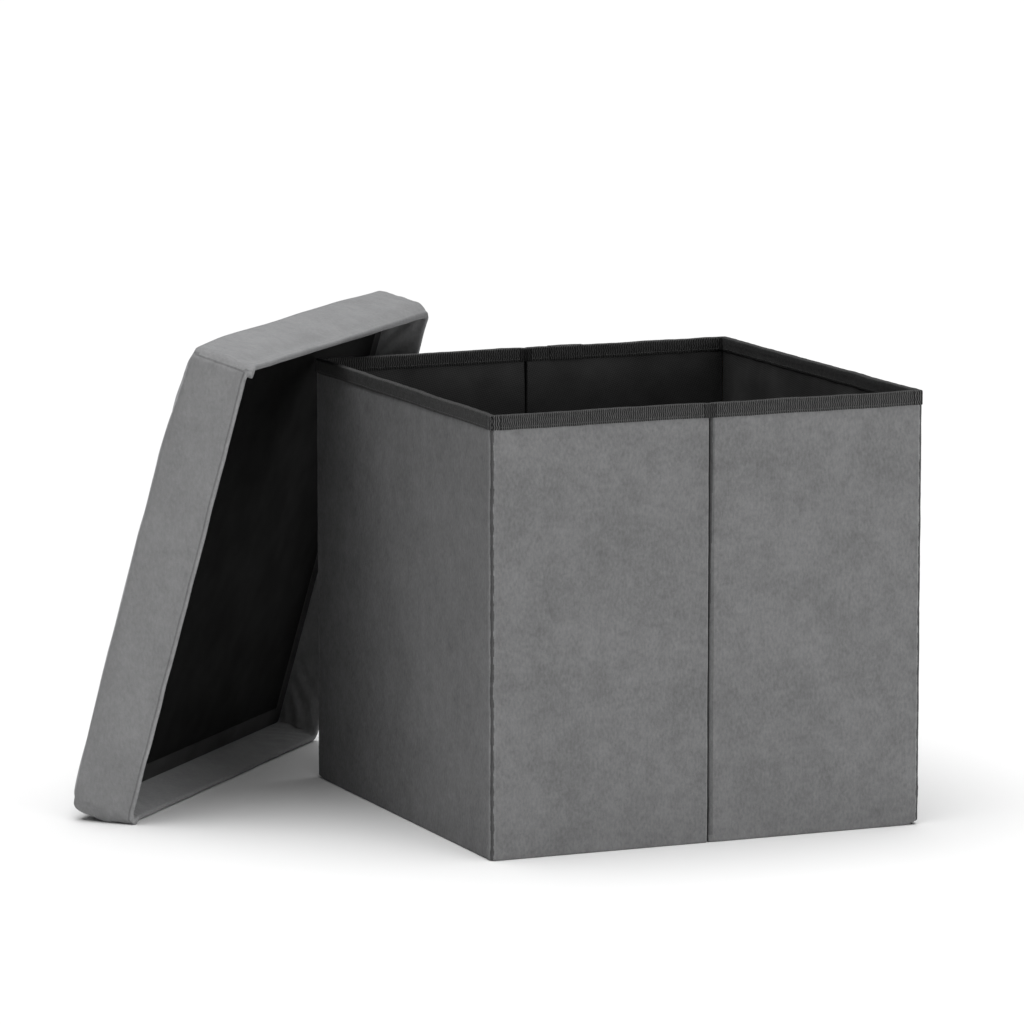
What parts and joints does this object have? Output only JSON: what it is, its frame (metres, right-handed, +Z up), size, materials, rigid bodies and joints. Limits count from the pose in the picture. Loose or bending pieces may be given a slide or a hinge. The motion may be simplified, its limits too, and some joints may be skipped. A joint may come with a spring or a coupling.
{
  "type": "folding storage ottoman",
  "caption": "Folding cube storage ottoman in grey velvet, open, with its padded tray lid leaning on one corner of the box.",
  "frame": {"origin": "middle of the box's underside, on the floor", "axes": "+Z up; +X from the solid left wall, which the lid leans beside, to the solid right wall; the front wall, which folds at its middle, faces -Y"},
  "size_m": [0.6207, 0.5579, 0.3883],
  "materials": {
    "velvet": "soft short-pile velvet",
    "lining": "matt woven lining",
    "binding": "ribbed binding tape",
    "bottom_cloth": "matt non-woven cloth",
    "fibreboard": "raw fibreboard",
    "foam": "open-cell foam",
    "nail_steel": "bright wire nail"
  },
  "bodies": {
    "left_side": {"left_board": "fibreboard", "left_velvet": "velvet", "left_lining": "lining", "left_binding": "binding", "left_hem": "velvet", "front_left_corner_seam": "velvet", "back_left_corner_seam": "velvet", "bottom_cloth": "bottom_cloth", "base_board": "fibreboard", "base_cover": "lining"},
    "right_side": {"right_board": "fibreboard", "right_velvet": "velvet", "right_lining": "lining", "right_binding": "binding", "right_hem": "velvet", "front_right_corner_seam": "velvet", "back_right_corner_seam": "velvet"},
    "front_left_half": {"front_left_board": "fibreboard", "front_left_velvet": "velvet", "front_left_lining": "lining", "front_left_binding": "binding", "front_left_hem": "velvet"},
    "front_right_half": {"front_right_board": "fibreboard", "front_right_velvet": "velvet", "front_right_lining": "lining", "front_right_binding": "binding", "front_right_hem": "velvet"},
    "back_left_half": {"back_left_board": "fibreboard", "back_left_velvet": "velvet", "back_left_lining": "lining", "back_left_binding": "binding", "back_left_hem": "velvet"},
    "back_right_half": {"back_right_board": "fibreboard", "back_right_velvet": "velvet", "back_right_lining": "lining", "back_right_binding": "binding", "back_right_hem": "velvet"},
    "lid": {"lid_board": "fibreboard", "lid_pad": "foam", "lid_top_cover": "velvet", "lid_lining": "lining", "lid_left_skirt_board": "fibreboard", "lid_right_skirt_board": "fibreboard", "lid_front_skirt_board": "fibreboard", "lid_back_skirt_board": "fibreboard", "lid_left_cover": "velvet", "lid_right_cover": "velvet", "lid_front_cover": "velvet", "lid_back_cover": "velvet", "lid_frame_nails": "nail_steel"},
    "lid_pivot_nails": {"lid_pivot_nails": "nail_steel"}
  },
  "joints": [
    {"name": "wall_fold", "type": "hinge", "parent": "left_side", "child": "front_left_half", "pos_m": [-0.181, -0.181, 0], "axis": [0, 0, -1], "range_deg": [-88, 0], "deforming": ["front_left_hem"]},
    {"name": "front_fold", "type": "hinge", "parent": "front_left_half", "child": "front_right_half", "pos_m": [0, -0.1872, 0], "axis": [0, 0, -1], "range_deg": [0, 176], "deforming": ["front_right_hem"]},
    {"name": "front_right_corner", "type": "hinge", "parent": "front_right_half", "child": "right_side", "pos_m": [0.181, -0.181, 0], "axis": [0, 0, -1], "range_deg": [-88, 0], "deforming": ["right_hem"]},
    {"name": "back_left_corner", "type": "hinge", "parent": "left_side", "child": "back_left_half", "pos_m": [-0.181, 0.181, 0], "axis": [0, 0, -1], "range_deg": [0, 88], "deforming": ["back_left_hem"]},
    {"name": "back_fold", "type": "hinge", "parent": "back_left_half", "child": "back_right_half", "pos_m": [0, 0.1872, 0], "axis": [0, 0, -1], "range_deg": [-176, 0], "deforming": ["back_right_hem"]},
    {"name": "lid_swing", "type": "hinge", "parent": "left_side", "child": "lid_pivot_nails", "pos_m": [-0.05089, 0.02056, 0.35616], "axis": [0.3746, 0.9272, 0], "range_deg": [0, 180]},
    {"name": "lid_turn", "type": "hinge", "parent": "lid_pivot_nails", "child": "lid", "pos_m": [-0.22047, 0.15574, 0.35702], "axis": [0.6947, 0.7193, 0], "range_deg": [-105.8, 0]}
  ],
  "couplings": [
    {"joint": "front_fold", "follows": "wall_fold", "ratio": -2},
    {"joint": "front_right_corner", "follows": "wall_fold", "ratio": 1},
    {"joint": "back_left_corner", "follows": "wall_fold", "ratio": -1},
    {"joint": "back_fold", "follows": "wall_fold", "ratio": 2},
    {"joint": "lid_turn", "follows": "lid_swing", "ratio": -0.58778}
  ]
}
